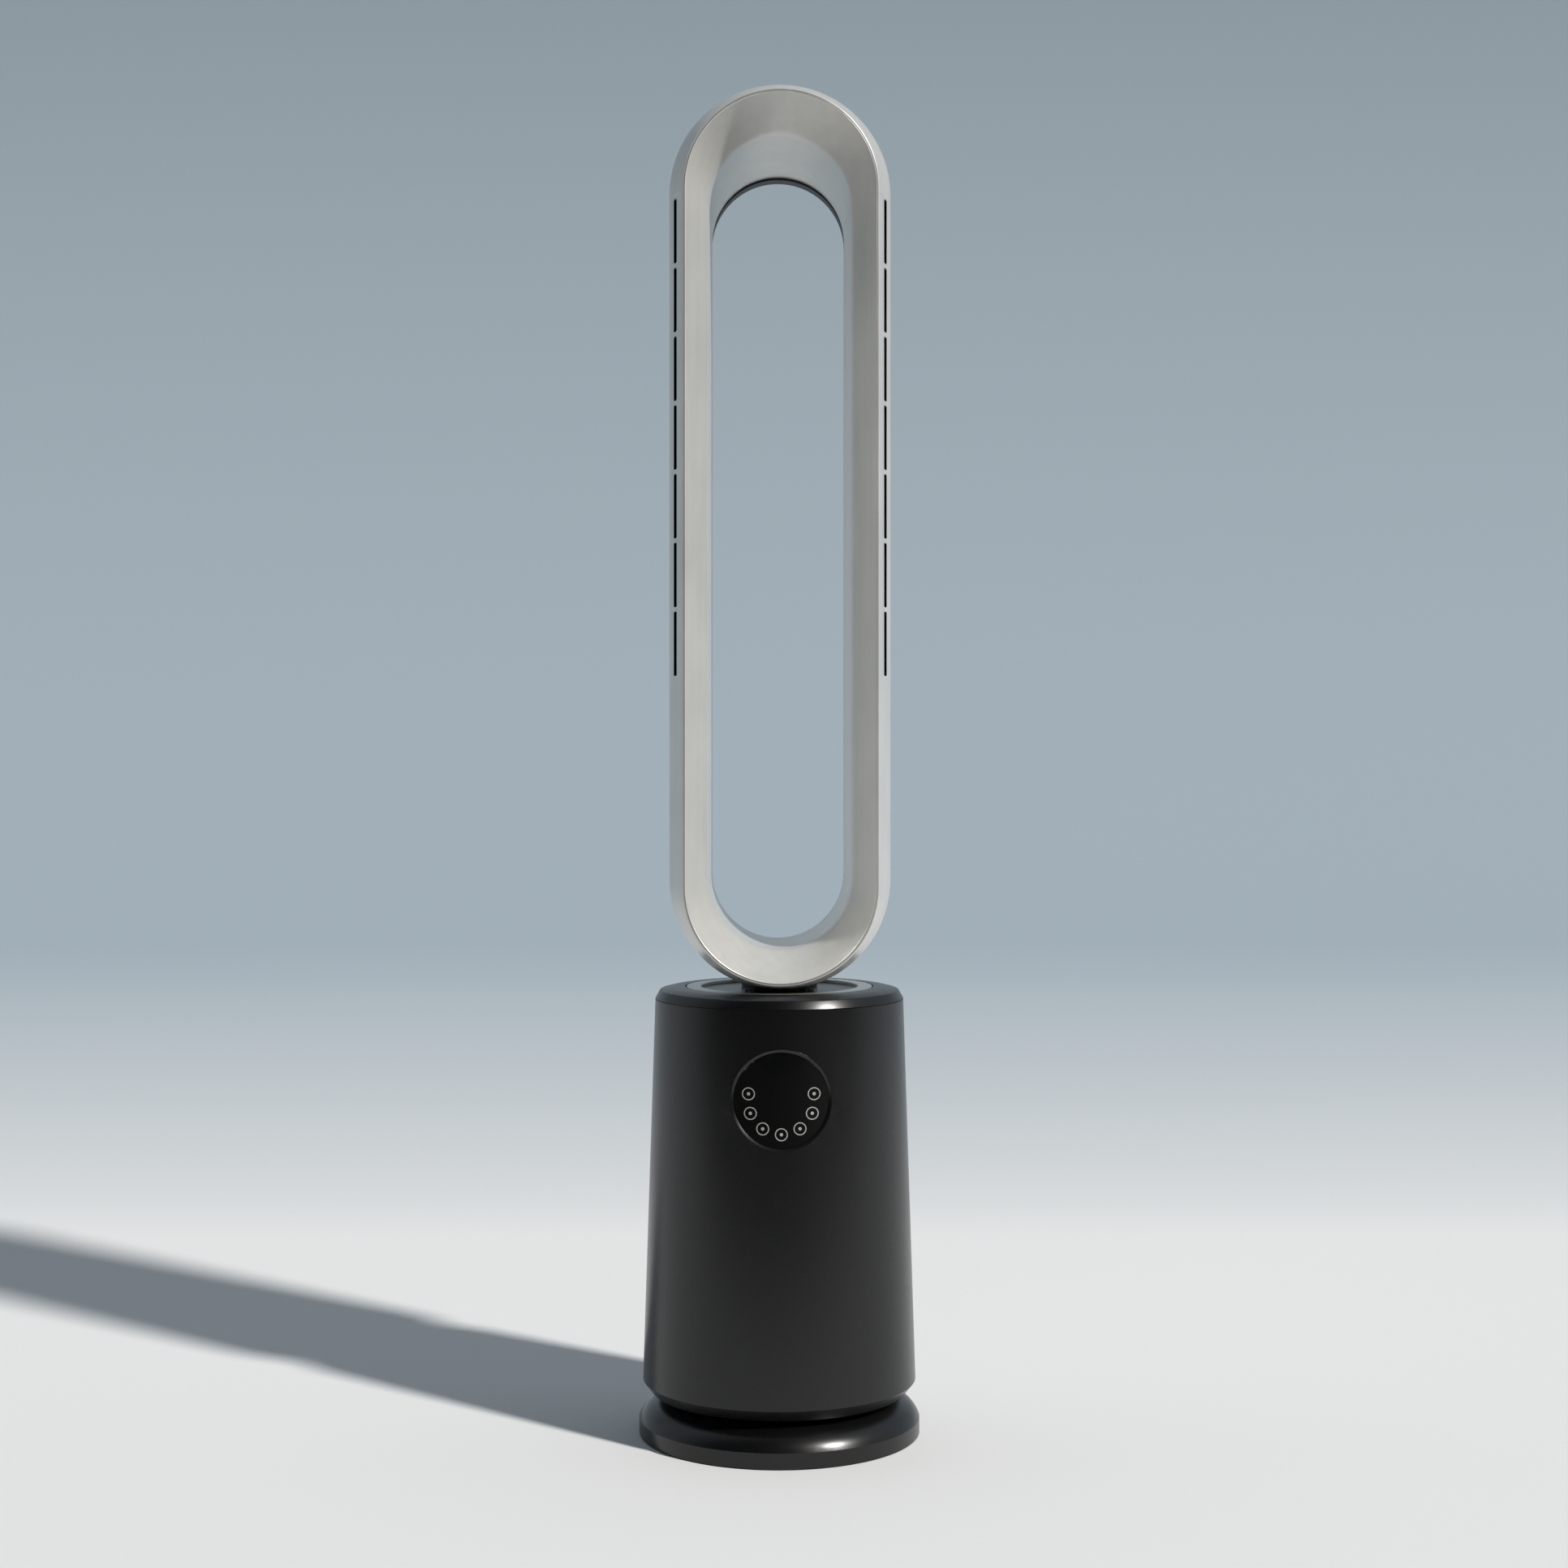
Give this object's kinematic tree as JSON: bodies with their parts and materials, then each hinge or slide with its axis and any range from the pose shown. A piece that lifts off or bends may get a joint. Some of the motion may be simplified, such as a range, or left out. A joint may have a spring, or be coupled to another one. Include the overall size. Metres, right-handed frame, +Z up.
{
  "type": "bladeless tower fan",
  "caption": "Upright racetrack air loop with side outlet slots on a tapered tower that holds the blower, a round touch panel and a swivelling round foot.",
  "frame": {"origin": "centre of the foot on the floor", "axes": "+Z up, -Y towards the front of the fan where the air comes out, +X to the right as seen from the front"},
  "size_m": [0.2, 0.2, 0.953],
  "materials": {
    "satin_black": "satin",
    "gloss_black": "gloss",
    "satin_silver": "satin metallic paint",
    "dark_trim": "satin",
    "silver_trim": "satin",
    "rubber": "matte",
    "inner_plastic": "matte",
    "slide_plastic": "smooth",
    "cast_ballast": "cast",
    "steel": "bright",
    "motor_metal": "zinc plated",
    "circuit_board": "solder mask"
  },
  "bodies": {
    "foot": {"foot_cover": "satin_black", "foot_pan": "inner_plastic", "foot_pads": "rubber", "foot_ballast": "cast_ballast", "foot_screws": "steel", "power_inlet": "inner_plastic", "swivel_post": "steel", "swivel_gear": "slide_plastic", "gear_nut": "slide_plastic", "lower_race": "steel", "swivel_balls": "steel", "ball_cage": "slide_plastic"},
    "tower": {"upper_race": "steel", "chassis": "inner_plastic", "swivel_bush": "slide_plastic", "tower_shell": "satin_black", "intake_grille": "satin_black", "shell_screws": "steel", "top_deck": "satin_black", "trim_ring": "silver_trim", "deck_dish": "satin_black", "neck_collar": "satin_black", "neck_screws": "steel", "loop_front_shell": "satin_silver", "loop_outer_shell": "satin_silver", "loop_rear_trim": "dark_trim", "nozzle_strips": "dark_trim", "loop_saddle": "inner_plastic", "flow_splitter": "inner_plastic", "panel_bezel": "silver_trim", "panel_lens": "gloss_black", "control_board": "circuit_board", "key_switches": "inner_plastic", "motor_bracket": "inner_plastic", "bracket_screws": "steel", "swivel_motor": "motor_metal", "power_board": "circuit_board", "board_screws": "steel", "blower_duct": "inner_plastic", "inlet_bell": "inner_plastic", "blower_mounts": "rubber", "blower_screws": "steel", "riser_seal": "rubber", "fan_motor": "motor_metal", "motor_bearings": "steel", "motor_sleeve": "rubber", "diffuser": "inner_plastic"},
    "impeller": {"impeller": "inner_plastic", "impeller_nut": "steel", "fan_shaft": "steel", "motor_rotor": "motor_metal"},
    "pinion": {"drive_pinion": "slide_plastic", "pinion_shaft": "steel"},
    "key_1": {"key_1": "gloss_black"},
    "key_2": {"key_2": "gloss_black"},
    "key_3": {"key_3": "gloss_black"},
    "key_4": {"key_4": "gloss_black"},
    "key_5": {"key_5": "gloss_black"},
    "key_6": {"key_6": "gloss_black"},
    "key_7": {"key_7": "gloss_black"}
  },
  "joints": [
    {"name": "oscillation", "type": "hinge", "parent": "foot", "child": "tower", "pos_m": [0, 0, 0.03], "axis": [0, 0, 1], "range_deg": [-40, 40]},
    {"name": "impeller_spin", "type": "hinge", "parent": "tower", "child": "impeller", "pos_m": [0, 0, 0.125], "axis": [0, 0, 1], "continuous": true},
    {"name": "pinion_turn", "type": "hinge", "parent": "tower", "child": "pinion", "pos_m": [0, 0.03, 0.04], "axis": [0, 0, 1], "range_deg": [-121, 121]},
    {"name": "key_1_press", "type": "slide", "parent": "tower", "child": "key_1", "axis": [0, 1, 0], "range_m": [0, 0.0008], "stiffness_N_per_m": 400},
    {"name": "key_2_press", "type": "slide", "parent": "tower", "child": "key_2", "axis": [0, 1, 0], "range_m": [0, 0.0008], "stiffness_N_per_m": 400},
    {"name": "key_3_press", "type": "slide", "parent": "tower", "child": "key_3", "axis": [0, 1, 0], "range_m": [0, 0.0008], "stiffness_N_per_m": 400},
    {"name": "key_4_press", "type": "slide", "parent": "tower", "child": "key_4", "axis": [0, 1, 0], "range_m": [0, 0.0008], "stiffness_N_per_m": 400},
    {"name": "key_5_press", "type": "slide", "parent": "tower", "child": "key_5", "axis": [0, 1, 0], "range_m": [0, 0.0008], "stiffness_N_per_m": 400},
    {"name": "key_6_press", "type": "slide", "parent": "tower", "child": "key_6", "axis": [0, 1, 0], "range_m": [0, 0.0008], "stiffness_N_per_m": 400},
    {"name": "key_7_press", "type": "slide", "parent": "tower", "child": "key_7", "axis": [0, 1, 0], "range_m": [0, 0.0008], "stiffness_N_per_m": 400}
  ],
  "couplings": [
    {"joint": "pinion_turn", "follows": "oscillation", "ratio": 3}
  ]
}
